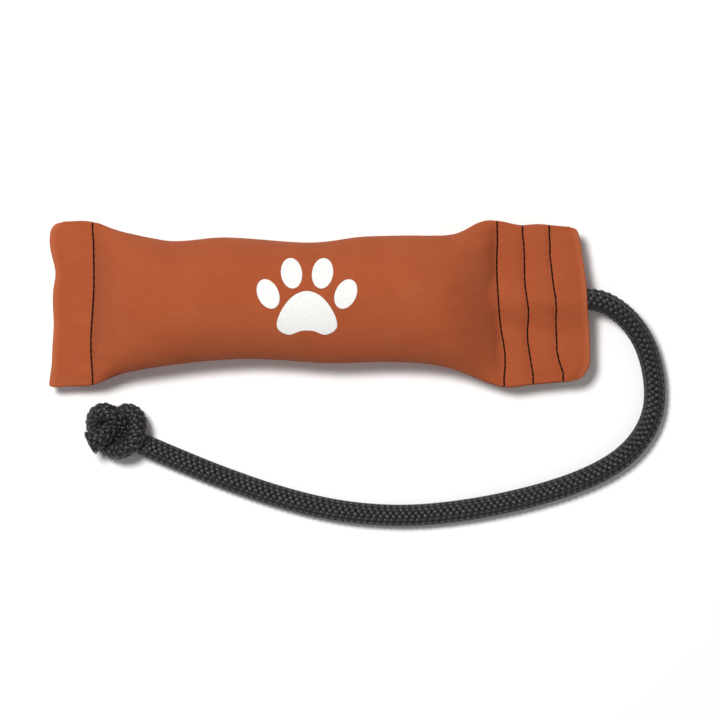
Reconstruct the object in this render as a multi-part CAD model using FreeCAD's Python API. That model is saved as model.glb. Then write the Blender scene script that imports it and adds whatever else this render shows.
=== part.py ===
import FreeCAD, Part
import bisect
import math
import os

# Canvas training bumper: a sewn canvas tube, stuffed, with a braided throw rope in one end.
# Millimetres. +X runs along the bumper towards the throw rope, +Y across it, +Z up.
# The origin lies on the ground under the middle of the bumper's own box, without the rope.

Vec = FreeCAD.Vector

# ---- driving dimensions ----
FLAT_WIDTH = 77.6  # the empty tube, pressed flat
ROUNDNESS = 1.30  # how much a filled section is wider than it is high
CANVAS = 1.0  # one layer of canvas
HEM_HALF = 2.2  # two folded layers, half of the flat hem
HEM_GAP = 0.05  # half of the slit between the hem's two halves
BELLY_SAG = 2.0  # how far the filled tube settles into its flat underside
EDGE_WALL = 2.0  # hem cloth between the slit and its folded side
PINCH = 16.0  # length over which a stitch row flattens the filled tube
ROPE_R = 5.0
ROPE_CORE_R = 3.2  # straight yarns inside the braid
ROPE_Y = 2.1  # the rope leaves the mouth here
MOUTH_Z = 13.8  # height of the mouth's slit and of the rope in it
ROPE_BUMP_WIDTH = 14.0  # half of the cloth that arches over the rope
PIVOT = Vec(131.0, ROPE_Y, MOUTH_Z)  # where the rope bends, just outside the mouth
PIVOT_GAP = 0.3
THREAD_R = 0.4
STITCH_PITCH = 3.4
STITCH_LENGTH = 2.7
STITCH_LEG = 1.3
SIDE_PITCH = 5.0  # of the long seams
SIDE_STITCH_SHARE = 0.75  # of that pitch, on one side of the cloth
SEAM_ALLOWANCE = 9.0  # cloth turned inwards along each long seam
SEAM_DEPTH = 5.0  # of the long seams' stitches from the fold
INK = 0.25  # depth of the print in the cloth
CLEAR = 0.25  # room between the stuffing and what is round it
THREAD_ROOM = 0.6  # the same, over the stitches inside
CLOSED_ROW_X = -106.3
MOUTH_ROW_X = 84.6
SEAM_INSET = 3.0  # from the closed end's row to the start of the long seams' allowance
SEAM_STITCH_INSET = 6.0  # from the end rows to the first and the last stitch of a long seam
MOUTH_INSET = 4.0  # from the mouth's first row to the end of the long seams and the stuffing
PAW_CENTRE = (-5.5, 0.5)
PAW_SCALE = 0.92
TOE_LENGTH = 7.8  # half of a toe's oval, before scaling
TOE_WIDTH = 5.3
LOFT_END = 130.0  # the tube is shaped out to here and then trimmed to its ends
STATION_STEP = 4.0
ACROSS = 24  # steps across the tube
CURVE_STEPS = 24  # points of a curve along the whole tube
TALL = 60.0  # prisms over the plan are taller than the bumper
WIDE = 120.0  # and slabs through it are wider
UNDER = -5.0  # where those prisms start

# ---- outlines, in plan: x, y ----
FAR_SIDE = [
    (-130, 38.4), (-118, 38.6), (-110, 38.9), (-103, 37.4), (-94, 33.8), (-84, 31.7), (-70, 29.1),
    (-60, 29.6), (-48, 31.0), (-34, 30.6), (-16, 29.1), (-3, 28.5), (8, 29.5), (18, 31.2),
    (40, 31.8), (59, 31.8), (66, 32.9), (74, 37.6), (79.5, 39.3), (86, 38.6), (94, 36.7),
    (103, 37.4), (114, 36.2), (130, 36.0),
]
NEAR_SIDE = [
    (-130, -39.3), (-124, -39.1), (-118, -38.4), (-110, -38.5), (-103, -36.7), (-94, -32.6),
    (-84, -30.6), (-70, -28.6), (-56, -26.9), (-34, -25.6), (-14, -26.5), (4, -27.8), (26, -27.0),
    (44, -27.3), (56, -28.7), (65, -30.9), (73, -34.0), (80, -37.2), (87.5, -39.3), (96, -38.2),
    (105, -37.2), (118, -36.2), (130, -35.6),
]
# ends, in plan: y, x
CLOSED_END = [
    (-39.6, -127.0), (-36, -126.8), (-30, -125.9), (-20, -125.4), (-11, -124.8), (8, -124.8),
    (14.5, -123.9), (20, -125.0), (26, -126.4), (31.5, -126.7), (35, -126.0), (37.6, -124.0),
    (39.2, -121.0),
]
MOUTH_END = [
    (-37.2, 118.0), (-36.0, 121.2), (-34.0, 123.6), (-31.6, 125.4), (-28, 126.8), (-24, 127.0),
    (-9.5, 126.4), (-2, 125.6), (9, 125.0), (20.5, 123.6), (31, 121.9), (34.6, 120.6),
    (36.4, 118.0),
]
# stitch rows, in plan: y, x
CLOSED_ROW = [
    (-36.5, -106.2), (-28.8, -106.7), (-21, -107.2), (-12.8, -107.0), (-3.2, -106.3), (4.2, -105.8),
    (25, -105.8), (31.5, -106.0), (36.8, -106.8),
]
INNER_ROW = [
    (-37, 86.2), (-28, 87.1), (-23, 87.0), (-12.9, 85.2), (-4.3, 84.2), (4.2, 83.5), (12, 83.2),
    (21, 83.0), (31.5, 83.5), (37, 83.0),
]
MIDDLE_ROW = [
    (-36, 100.5), (-24.3, 98.6), (-11.8, 97.4), (-4.9, 98.0), (5.3, 96.5), (19, 96.1), (35.2, 94.8),
]
OUTER_ROW = [
    (-34.8, 114.2), (-32, 114.5), (-27, 112.2), (-17.4, 111.2), (-7.2, 110.7), (0.8, 110.8),
    (7, 109.7), (16.7, 108.8), (25.2, 107.8), (32.7, 108.0), (35.2, 106.8),
]
# the paw, about its middle and before scaling: the pad's outline, and the toes' x, y and lean
PAW_PAD = [
    (0, 5.5), (7.5, 2.5), (13.5, -5.5), (15.0, -13.0), (9.5, -16.5), (3.0, -14.6), (-3.0, -14.6),
    (-9.5, -16.5), (-15.0, -13.0), (-13.5, -5.5), (-7.5, 2.5),
]
PAW_TOES = [(-19.5, 4.0, 24), (-7.8, 14.5, 8), (7.8, 14.5, -8), (19.5, 4.0, -24)]
# height of the long seams: x, z
SEAM_HEIGHT = [
    (-130, 11.0), (-114, 11.4), (-106, 12.4), (-98, 15.0), (-88, 17.4), (-70, 18.0), (0, 18.0),
    (42, 18.0), (56, 17.4), (66, 15.9), (73, 14.5), (79, MOUTH_Z), (90, MOUTH_Z), (130, MOUTH_Z),
]
# height that the cloth is lifted over the rope: x, z
ROPE_LIFT = [
    (-130, 0.0), (60, 0.0), (70, 0.2), (76, 1.2), (80, 3.2), (84, 5.0), (88, 5.3), (130, 5.3),
]
# ---- the throw rope on the ground: corners of its route ----
ROPE_ROUTE = [
    Vec(131.0, 2.1, 13.8),
    Vec(140.5, -3.4, 12.4),
    Vec(149.6, -12.2, 9.6),
    Vec(155.2, -23.5, 7.0),
    Vec(158.3, -37.5, 5.4),
    Vec(157.6, -52.0, 5.0),
    Vec(150.5, -66.0, 5.0),
    Vec(138.5, -76.4, 5.0),
    Vec(120.5, -85.0, 5.0),
    Vec(97.5, -91.9, 5.0),
    Vec(70.0, -97.4, 5.0),
    Vec(40.0, -100.3, 5.0),
    Vec(10.0, -98.0, 5.0),
    Vec(-18.0, -91.3, 5.0),
    Vec(-45.0, -82.0, 5.0),
    Vec(-68.0, -72.4, 5.6),
    Vec(-88.0, -63.2, 8.0),
]
KNOT_CENTRE = Vec(-95.0, -60.0, 10.6)
# a knot's three turns, from its middle: start and end of each round-ended bar, and its radius
KNOT_TURNS = [
    (Vec(-6.6, 4.6, -1.6), Vec(-5.6, 3.4, 1.6), 7.9),
    (Vec(6.2, 4.8, -1.6), Vec(4.8, 3.8, 1.6), 8.3),
    (Vec(-3.0, -4.4, 0.4), Vec(3.0, -3.6, -0.4), 8.9),
]
TAIL_START = Vec(-96.0, -59.6, 10.0)
TAIL_END = Vec(-106.6, -64.6, 9.0)
TIP_LIP = 0.5  # the melted end is that much wider than the rope, and rounded by as much
TIP_LENGTH = 1.2
STOPPER_CENTRE = Vec(64.0, ROPE_Y, 15.6)
STOPPER_SIZE = 0.92  # against the grip knot, pulled tighter
# ---- the foam bar in the stuffing ----
FOAM_CORNER = Vec(-86.0, -13.5, 10.5)
FOAM_SIZE = Vec(128.0, 32.0, 15.0)
FOAM_ROUNDING = 5.0


def through(points):
    """A smooth function through points, each (place, value)."""
    places = [p[0] for p in points]
    values = [p[1] for p in points]

    def slope(i):
        low = max(i - 1, 0)
        high = min(i + 1, len(points) - 1)
        return (values[high] - values[low]) / (places[high] - places[low])

    def value(at):
        i = min(max(bisect.bisect_right(places, at) - 1, 0), len(points) - 2)
        step = places[i + 1] - places[i]
        t = min(max((at - places[i]) / step, 0.0), 1.0)
        rise = values[i + 1] - values[i]
        a = slope(i) * step - rise
        b = rise - slope(i + 1) * step
        return values[i] + rise * t + t * (1 - t) * (a * (1 - t) + b * t)

    return value


far_side = through(FAR_SIDE)
near_side = through(NEAR_SIDE)
seam_height = through(SEAM_HEIGHT)
rope_lift = through(ROPE_LIFT)


def thickness(x):
    """Height of the filled tube at x: what is left of its girth at the width it has there."""
    width = far_side(x) - near_side(x)
    full = math.sqrt(max(FLAT_WIDTH**2 - width**2, 0.0)) / ROUNDNESS
    inside = min(x - CLOSED_ROW_X, MOUTH_ROW_X - x)
    share = min(max(inside / PINCH, 0.0), 1.0)
    fill = math.sqrt(1.0 - (1.0 - share) ** 2)
    return 2 * HEM_HALF + max(full - 2 * HEM_HALF, 0.0) * fill, fill


def section(x, skin, edge):
    """Points over and under the tube at x, inset by skin above and below, by edge at the sides."""
    high, fill = thickness(x)
    down = min(high / 2, seam_height(x) + BELLY_SAG)
    centre = (far_side(x) + near_side(x)) / 2
    half = (far_side(x) - near_side(x)) / 2 - edge(fill)
    squareness = 2.0 + 4.0 * (1.0 - fill)

    def line(sign, tall):
        depth = max(tall - skin(fill), HEM_GAP)
        points = []
        for i in range(ACROSS + 1):
            u = math.sin(math.pi / 2 * (1 - 2 * i / ACROSS))
            y = centre + half * u
            z = depth * max(1 - abs(u) ** squareness, 0.0) ** (1 / squareness)
            off = min(abs(y - ROPE_Y) / ROPE_BUMP_WIDTH, 1.0)
            if 0 < i < ACROSS:
                z += rope_lift(x) * math.cos(math.pi / 2 * off) ** 2
            points.append(Vec(x, y, seam_height(x) + sign * z))
        return points

    return line(1, high - down), line(-1, down)


def smooth_surface(poles):
    """Cubic surface over a grid of poles, clamped at its four sides."""

    def knots(count):
        inner = count - 3
        return [4] + [1] * (inner - 1) + [4], [float(i) for i in range(inner + 1)]

    mults_along, knots_along = knots(len(poles))
    mults_across, knots_across = knots(len(poles[0]))
    surface = Part.BSplineSurface()
    surface.buildFromPolesMultsKnots(
        poles, mults_along, mults_across, knots_along, knots_across, False, False, 3, 3
    )
    return surface


def no_inset(fill):
    return 0.0


def tube_surfaces(skin, edge, x0, x1):
    """The upper and the lower surface of the tube between two stations."""
    count = round((x1 - x0) / STATION_STEP)
    sections = [section(x0 + (x1 - x0) * i / count, skin, edge) for i in range(count + 1)]
    return [smooth_surface([pair[half] for pair in sections]) for half in (0, 1)]


def tube(skin, edge, x0, x1, floor):
    """Closed tube between two stations, cut flat at floor."""
    surfaces = tube_surfaces(skin, edge, x0, x1)
    faces = [surface.toShape() for surface in surfaces]
    ends = surfaces[0].bounds()
    for end in ends[:2]:
        faces.append(Part.Face(Part.Wire([surface.uIso(end).toShape() for surface in surfaces])))
    shell = Part.makeShell(faces)
    shell.sewShape()
    body = Part.makeSolid(shell)
    if body.Volume < 0:
        body.reverse()
    corner = Vec(-2 * LOFT_END, -WIDE / 2, floor)
    return body.common(Part.makeBox(4 * LOFT_END, WIDE, TALL, corner))


def outer_tube():
    return tube(no_inset, no_inset, -LOFT_END, LOFT_END, 0.0)


def hollow():
    def skin(fill):
        return CANVAS + (2 * HEM_HALF - CANVAS) * (1 - min(fill * 2.5, 1.0))

    def edge(fill):
        return CANVAS + (EDGE_WALL - CANVAS) * (1 - fill)

    return tube(skin, edge, -LOFT_END - 1, LOFT_END + 1, CANVAS)


def stuffed_space():
    """The hollow between the two inner stitch rows, less the clearance."""

    def inset(fill):
        return CANVAS + CLEAR

    return tube(inset, inset, CLOSED_ROW_X + SEAM_INSET, MOUTH_ROW_X - MOUTH_INSET, inset(1))


def smooth_edge(points):
    """Edge along a smooth curve through points."""
    curve = Part.BSplineCurve()
    curve.interpolate(Points=points)
    return curve.toShape()


def evenly(x0, x1):
    return [x0 + (x1 - x0) * i / CURVE_STEPS for i in range(CURVE_STEPS + 1)]


def side_profile(low, high, x0, x1):
    """Slab between two heights measured from the long seams, right across the tube."""
    places = evenly(x0, x1)

    def at(x, lift):
        return Vec(x, -WIDE / 2, seam_height(x) + lift)

    bottom = smooth_edge([at(x, low) for x in places])
    top = smooth_edge([at(x, high) for x in places])
    ends = [Part.makeLine(at(x, low), at(x, high)) for x in (x0, x1)]
    face = Part.Face(Part.Wire([bottom, ends[1], top, ends[0]]))
    return face.extrude(Vec(0, WIDE, 0))


def end_outline():
    """Prism over the bumper's plan that gives the closed end and the mouth their edges."""
    closed = [Vec(x, y, UNDER) for y, x in CLOSED_END]
    mouth = [Vec(x, y, UNDER) for y, x in MOUTH_END]
    left = CLOSED_ROW_X
    right = MOUTH_ROW_X
    beside = WIDE / 2
    near_corners = [Vec(left, -beside, UNDER), Vec(right, -beside, UNDER)]
    far_corners = [Vec(right, beside, UNDER), Vec(left, beside, UNDER)]
    near = Part.makePolygon([closed[0]] + near_corners + [mouth[0]])
    far = Part.makePolygon([mouth[-1]] + far_corners + [closed[-1]])
    wire = Part.Wire(near.Edges + [smooth_edge(mouth)] + far.Edges + [smooth_edge(closed)])
    return Part.Face(wire).extrude(Vec(0, 0, TALL))


def seam_flange(side, half_height, grow=0.0):
    """Both layers of cloth turned inwards along one long seam, and the wall that they join."""
    x0 = CLOSED_ROW_X + SEAM_INSET - grow
    x1 = MOUTH_ROW_X - MOUTH_INSET + grow
    inwards = -1 if side is far_side else 1
    reach = SEAM_ALLOWANCE + grow

    def at(x, inset):
        return Vec(x, side(x) + inwards * inset, UNDER)

    outside = smooth_edge([at(x, -SEAM_ALLOWANCE) for x in evenly(x0, x1)])
    inside = smooth_edge([at(x, reach) for x in evenly(x0, x1)])
    ends = [Part.makeLine(at(x, -SEAM_ALLOWANCE), at(x, reach)) for x in (x0, x1)]
    wire = Part.Wire([outside, ends[1], inside, ends[0]])
    plan = Part.Face(wire).extrude(Vec(0, 0, TALL))
    return plan.common(side_profile(-half_height, half_height, x0, x1))


def panels():
    """The two cut pieces of canvas, sewn along both sides."""
    inside = hollow()
    for side in (far_side, near_side):
        inside = inside.cut(seam_flange(side, CANVAS))
    shell = outer_tube().cut(inside).common(end_outline())
    reach = LOFT_END - 1
    upper = shell.common(side_profile(0.0, TALL, -reach, reach))
    lower = shell.common(side_profile(-TALL, 0.0, -reach, reach))
    return biggest(upper), biggest(lower)


def biggest(shape):
    return max(shape.Solids, key=lambda solid: solid.Volume)


def capsule(start, end, radius):
    """A bar with round ends."""
    bar = Part.makeCylinder(radius, (end - start).Length, start, end - start)
    return bar.fuse([Part.makeSphere(radius, start), Part.makeSphere(radius, end)])


def paw_spot(x, y):
    """A place on the paw, as high as the long seams, so the underside isn't printed."""
    return Vec(PAW_CENTRE[0] + PAW_SCALE * x, PAW_CENTRE[1] + PAW_SCALE * y, seam_height(0.0))


def paw_shapes():
    """Plan of the printed paw: one broad pad and four toes, as prisms."""
    curve = Part.BSplineCurve()
    curve.interpolate(Points=[paw_spot(x, y) for x, y in PAW_PAD], PeriodicFlag=True)
    shapes = [Part.Face(Part.Wire(curve.toShape())).extrude(Vec(0, 0, TALL))]
    for x, y, lean in PAW_TOES:
        toe = Part.Ellipse(Vec(0, 0, 0), PAW_SCALE * TOE_LENGTH, PAW_SCALE * TOE_WIDTH)
        face = Part.Face(Part.Wire(toe.toShape()))
        face.rotate(Vec(0, 0, 0), Vec(0, 0, 1), 90 + lean)
        face.translate(paw_spot(x, y))
        shapes.append(face.extrude(Vec(0, 0, TALL)))
    return shapes


def paw_print(panel):
    """Ink printed into the canvas, a skin as thick as INK."""
    lowered = panel.copy()
    lowered.translate(Vec(0, 0, -INK))
    pieces = [prism.common(panel).cut(lowered) for prism in paw_shapes()]
    return Part.makeCompound([biggest(piece) for piece in pieces])


def surface_height(surface, x, y):
    """Height of a surface at a place in plan, by Newton's steps."""
    u0, u1, v0, v1 = surface.bounds()
    u = u0 + (u1 - u0) * (x + LOFT_END) / (2 * LOFT_END)
    v = (v0 + v1) / 2
    for _ in range(30):
        at = surface.value(u, v)
        along = surface.getDN(u, v, 1, 0)
        across = surface.getDN(u, v, 0, 1)
        scale = along.x * across.y - along.y * across.x
        off_x = x - at.x
        off_y = y - at.y
        u = min(max(u + (off_x * across.y - off_y * across.x) / scale, u0), u1)
        v = min(max(v + (along.x * off_y - along.y * off_x) / scale, v0), v1)
    return surface.value(u, v).z


def corner_arc(before, corner, after):
    """Tangent arc at a corner of a route: its start, middle and end, and its radius."""
    back = before - corner
    ahead = after - corner
    reach = 0.45 * min(back.Length, ahead.Length)
    back.normalize()
    ahead.normalize()
    turn = math.pi - back.getAngle(ahead)
    radius = reach / math.tan(turn / 2)
    inward = back + ahead
    inward.normalize()
    depth = radius / math.cos(turn / 2) - radius
    return corner + back * reach, corner + inward * depth, corner + ahead * reach, radius


def route_wire(points):
    """Straight runs joined by tangent arcs, and the radii of the arcs."""
    edges = []
    last = points[0]
    radii = []
    for before, corner, after in zip(points[:-2], points[1:-1], points[2:]):
        start, middle, end, radius = corner_arc(before, corner, after)
        edges.append(Part.LineSegment(last, start).toShape())
        edges.append(Part.Arc(start, middle, end).toShape())
        radii.append(round(radius, 1))
        last = end
    edges.append(Part.LineSegment(last, points[-1]).toShape())
    return Part.Wire(edges), radii


def round_bar(wire, radius):
    """Solid of round section along a wire."""
    start = wire.Edges[0]
    place = start.valueAt(start.FirstParameter)
    circle = Part.Circle(place, start.tangentAt(start.FirstParameter), radius)
    return wire.makePipeShell([Part.Wire(circle.toShape())], True, True)


def stitch(start, end, inwards):
    """One stitch: a bar on the cloth between two legs that go into it."""
    leg = inwards * STITCH_LEG
    wire, _ = route_wire([start + leg, start, end, end + leg])
    return round_bar(wire, THREAD_R)


def places_along(row, pitch):
    """Evenly spaced places along a row given as (y, x) points."""
    curve = Part.BSplineCurve()
    curve.interpolate(Points=[Vec(x, y, 0) for y, x in row])
    count = int(curve.length() / pitch)
    return curve.discretize(Number=count + 1)


def cross_row(row, surface, sign):
    """Stitches of one row across the hem, on the upper (sign 1) or lower (-1) surface."""
    marks = places_along(row, STITCH_PITCH)
    gap = (1 - STITCH_LENGTH / STITCH_PITCH) / 2
    solids = []
    for a, b in zip(marks[:-1], marks[1:]):
        ends = []
        for share in (gap, 1 - gap):
            at = a + (b - a) * share
            ends.append(Vec(at.x, at.y, surface_height(surface, at.x, at.y)))
        solids.append(stitch(ends[0], ends[1], Vec(0, 0, -sign)))
    return Part.makeCompound(solids)


def side_seam(side):
    """Stitches of one long seam, through both turned-in edges, above and below them by turns."""
    inwards = -1 if side is far_side else 1
    length = SIDE_PITCH * SIDE_STITCH_SHARE
    solids = []
    x = CLOSED_ROW_X + SEAM_STITCH_INSET
    while x + 2 * SIDE_PITCH < MOUTH_ROW_X - SEAM_STITCH_INSET:
        for sign, first in ((1, x), (-1, x + SIDE_PITCH / 2)):
            ends = []
            for at in (first, first + length):
                y = side(at) + inwards * SEAM_DEPTH
                ends.append(Vec(at, y, seam_height(at) + sign * CANVAS))
            solids.append(stitch(ends[0], ends[1], Vec(0, 0, -sign)))
        x += SIDE_PITCH
    return Part.makeCompound(solids)


def throw_rope():
    """The free rope: a braided sheath, round at the pivot, over a straight-laid core."""
    wire, radii = route_wire(ROPE_ROUTE)
    whole = round_bar(wire, ROPE_R)
    share = whole.Volume / (math.pi * ROPE_R**2 * wire.Length)
    print("rope radii", radii, "length", round(wire.Length, 1), "volume share", round(share, 4))
    core = round_bar(wire, ROPE_CORE_R)
    sheath = whole.fuse(Part.makeSphere(ROPE_R, PIVOT)).cut(core)
    return biggest(sheath), core


def knot(centre, turn_deg, size=1.0):
    """Outer shape of a tight overhand knot: two side lobes and the turn that crosses them."""
    first, *rest = [capsule(start * size, end * size, r * size) for start, end, r in KNOT_TURNS]
    solid = first.fuse(rest)
    solid.rotate(Vec(0, 0, 0), Vec(0, 0, 1), turn_deg)
    solid.translate(centre)
    return biggest(solid)


def rope_root():
    """The rope's fixed end, through the hem and into the stuffing."""
    start = STOPPER_CENTRE.x
    end = PIVOT.x - ROPE_R - PIVOT_GAP
    return Part.makeCylinder(ROPE_R, end - start, Vec(start, ROPE_Y, MOUTH_Z), Vec(1, 0, 0))


def foam_core():
    bar = Part.makeBox(FOAM_SIZE.x, FOAM_SIZE.y, FOAM_SIZE.z, FOAM_CORNER)
    return bar.makeFillet(FOAM_ROUNDING, bar.Edges)


def wadding(core, stopper, root):
    """Fibre between the canvas and the foam bar, shaped round all that is inside."""
    body = stuffed_space()
    cuts = [seam_flange(side, CANVAS + THREAD_ROOM, THREAD_ROOM) for side in (far_side, near_side)]
    for solid in cuts + [core, stopper, root]:
        body = body.cut(solid)
    return biggest(body)


def rope_tail():
    """The short end of rope that comes out of the grip knot."""
    way = TAIL_END - TAIL_START
    return Part.makeCylinder(ROPE_R, way.Length, TAIL_START, way)


def rope_tip():
    """The melted disc that closes the rope's cut end."""
    way = TAIL_END - TAIL_START
    disc = Part.makeCylinder(ROPE_R + TIP_LIP, TIP_LENGTH, TAIL_END, way)
    return disc.makeFillet(TIP_LIP, disc.Edges)


def save(shape, node):
    shape.exportStep("parts/" + node + ".step")
    box = shape.BoundBox
    print(
        node, "solids", len(shape.Solids), "valid", shape.isValid(), "volume", round(shape.Volume, 1),
        "x", round(box.XMin, 2), round(box.XMax, 2), "y", round(box.YMin, 2), round(box.YMax, 2),
        "z", round(box.ZMin, 2), round(box.ZMax, 2),
    )


def main():
    os.makedirs("parts", exist_ok=True)
    upper, lower = panels()
    ink = paw_print(upper)
    rows = {
        "closed_end": CLOSED_ROW,
        "mouth_inner": INNER_ROW,
        "mouth_middle": MIDDLE_ROW,
        "mouth_outer": OUTER_ROW,
    }
    over, under = tube_surfaces(no_inset, no_inset, -LOFT_END, LOFT_END)
    for name, row in rows.items():
        save(cross_row(row, over, 1), name + "_needle_thread")
        save(cross_row(row, under, -1), name + "_bobbin_thread")
    save(side_seam(far_side), "far_side_seam_thread")
    save(side_seam(near_side), "near_side_seam_thread")
    save(biggest(upper.cut(ink)), "upper_panel")
    save(lower, "lower_panel")
    save(ink, "paw_print")

    root = rope_root()
    stopper = knot(STOPPER_CENTRE, 180.0, STOPPER_SIZE).cut(root)
    core = foam_core()
    save(root, "rope_root")
    save(biggest(stopper), "stopper_knot")
    save(core, "foam_core")
    save(wadding(core, stopper, root), "fibre_wadding")

    sheath, rope_core = throw_rope()
    tip = rope_tip()
    tail = biggest(rope_tail().cut(sheath).cut(rope_core))
    grip = knot(KNOT_CENTRE, 0.0).cut(sheath).cut(rope_core).cut(tail).cut(tip)
    save(biggest(grip), "grip_knot")
    save(sheath, "rope_sheath")
    save(rope_core, "rope_core")
    save(tail, "rope_tail")
    save(tip, "rope_tip_seal")


main()
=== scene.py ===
import math

import bmesh
import bpy
import numpy as np
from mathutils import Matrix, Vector
from mathutils.bvhtree import BVHTree


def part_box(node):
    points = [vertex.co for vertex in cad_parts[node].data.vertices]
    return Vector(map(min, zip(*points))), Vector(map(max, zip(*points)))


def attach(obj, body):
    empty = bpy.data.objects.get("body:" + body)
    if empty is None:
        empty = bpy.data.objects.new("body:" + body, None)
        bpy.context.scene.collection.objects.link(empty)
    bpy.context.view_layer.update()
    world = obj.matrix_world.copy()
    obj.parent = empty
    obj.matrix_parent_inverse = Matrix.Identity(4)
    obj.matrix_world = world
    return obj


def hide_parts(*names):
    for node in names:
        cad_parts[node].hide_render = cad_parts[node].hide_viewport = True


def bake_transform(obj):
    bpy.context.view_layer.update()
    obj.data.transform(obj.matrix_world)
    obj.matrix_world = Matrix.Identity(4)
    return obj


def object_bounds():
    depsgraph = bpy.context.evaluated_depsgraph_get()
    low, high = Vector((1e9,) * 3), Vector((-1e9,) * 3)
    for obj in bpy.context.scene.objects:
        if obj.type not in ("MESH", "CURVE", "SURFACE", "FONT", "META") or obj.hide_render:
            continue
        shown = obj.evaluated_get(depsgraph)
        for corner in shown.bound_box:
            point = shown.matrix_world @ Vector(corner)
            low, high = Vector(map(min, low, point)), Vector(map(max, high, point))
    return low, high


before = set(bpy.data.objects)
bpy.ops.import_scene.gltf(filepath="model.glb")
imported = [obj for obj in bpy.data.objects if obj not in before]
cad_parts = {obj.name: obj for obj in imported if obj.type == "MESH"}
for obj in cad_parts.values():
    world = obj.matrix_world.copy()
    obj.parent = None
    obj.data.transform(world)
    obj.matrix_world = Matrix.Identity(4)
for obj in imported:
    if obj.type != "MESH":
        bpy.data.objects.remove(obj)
cad_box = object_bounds()

# Metres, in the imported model's own frame: +X towards the throw rope, +Z up from the ground.
MM = 0.001

ROPE_RADIUS = 5.0 * MM
KNOT_RADIUS = 4.35 * MM  # the braid is squeezed where it is knotted
LAY = 18.0 * MM  # one turn of a strand round the rope
STRANDS = 12  # half of them turn each way
STEP = LAY / (STRANDS * 4)  # along the rope's line: eight steps to one over and under
CANVAS = 1.0 * MM  # thickness of the stuffed cloth
HEM = 2.0 * MM  # thickness of a panel's folded end
GIRTH_HALF = 77.6 * MM  # width of one panel of cloth
WEAVE = 1.15 * MM  # two threads of the cloth
STITCH_PITCH = 3.4 * MM

ROWS = ["closed_end", "mouth_inner", "mouth_middle", "mouth_outer"]

# The throw rope's line, from inside the mouth to the knot.
ROPE_ROUTE = [
    (0.0640, 0.0021, 0.0138),
    (0.0880, 0.0021, 0.0138),
    (0.1120, 0.0021, 0.0138),
    (0.1210, 0.0022, 0.0138),
    (0.1310, 0.0021, 0.0133),
    (0.1400, -0.0024, 0.0117),
    (0.1490, -0.0112, 0.0092),
    (0.1550, -0.0228, 0.0069),
    (0.1582, -0.0375, 0.0055),
    (0.1575, -0.0520, 0.0052),
    (0.1504, -0.0655, 0.0052),
    (0.1386, -0.0759, 0.0052),
    (0.1205, -0.0846, 0.0052),
    (0.0975, -0.0916, 0.0052),
    (0.0700, -0.0972, 0.0052),
    (0.0400, -0.1002, 0.0052),
    (0.0100, -0.0980, 0.0052),
    (-0.0180, -0.0913, 0.0052),
    (-0.0450, -0.0820, 0.0052),
    (-0.0660, -0.0735, 0.0054),
    (-0.0815, -0.0668, 0.0066),
]
ROOT_LENGTH = 0.048  # of the rope from its start, inside the hem and the stuffing
NECK_LENGTH = 0.045  # after that, the part that bends when the rope swings

# The overhand knot's line from where the rope enters it to the cut end, about its middle, in mm.
KNOT_MIDDLE = Vector((-0.0952, -0.0598, 0.0098))
KNOT_ROUTE = [
    (12.9, -6.5, -3.0),
    (9.0, -4.8, -4.4),
    (4.6, -2.6, -4.8),
    (2.0, 2.4, -0.6),
    (-0.6, 6.9, 4.2),
    (-5.6, 10.0, 4.0),
    (-10.6, 7.4, 0.6),
    (-10.6, 0.6, -3.6),
    (-6.6, -6.2, -4.6),
    (-0.2, -9.9, -0.4),
    (6.2, -7.6, 4.4),
    (10.2, -0.8, 4.4),
    (10.2, 6.4, 0.4),
    (4.8, 9.9, -3.8),
    (-0.8, 6.2, -4.8),
    (-3.0, 1.4, -0.4),
    (-4.6, -1.8, 4.4),
    (-8.2, -3.4, 4.8),
    (-12.0, -5.4, 4.6),
]


# ---------------------------------------------------------------- camera, light and floor

CAMERA_HEIGHT = 1.8
VIEW_WIDTH = 1.1655  # against the object's length
AIM_RIGHT, AIM_UP = 0.001, 0.0065  # from the middle of the object to that of the picture
AIM_HEIGHT = 0.012
# Name, place as seen from the aim, size, power in watts and colour.
LIGHTS = [
    ("key", (-0.44, 0.46, 1.6), 0.42, 29.0, (1.0, 0.99, 0.975)),
    ("fill", (0.7, -0.5, 1.3), 1.4, 2.0, (0.98, 0.99, 1.0)),
]
SKY_COLOUR = (0.97, 0.985, 1.0)
SKY_STRENGTH = 0.22
FLOOR_HALF = 3.0
FLOOR_DROP = 0.0002  # the floor lies just under the object
FLOOR_COLOUR = (0.96, 0.96, 0.96)


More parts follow.
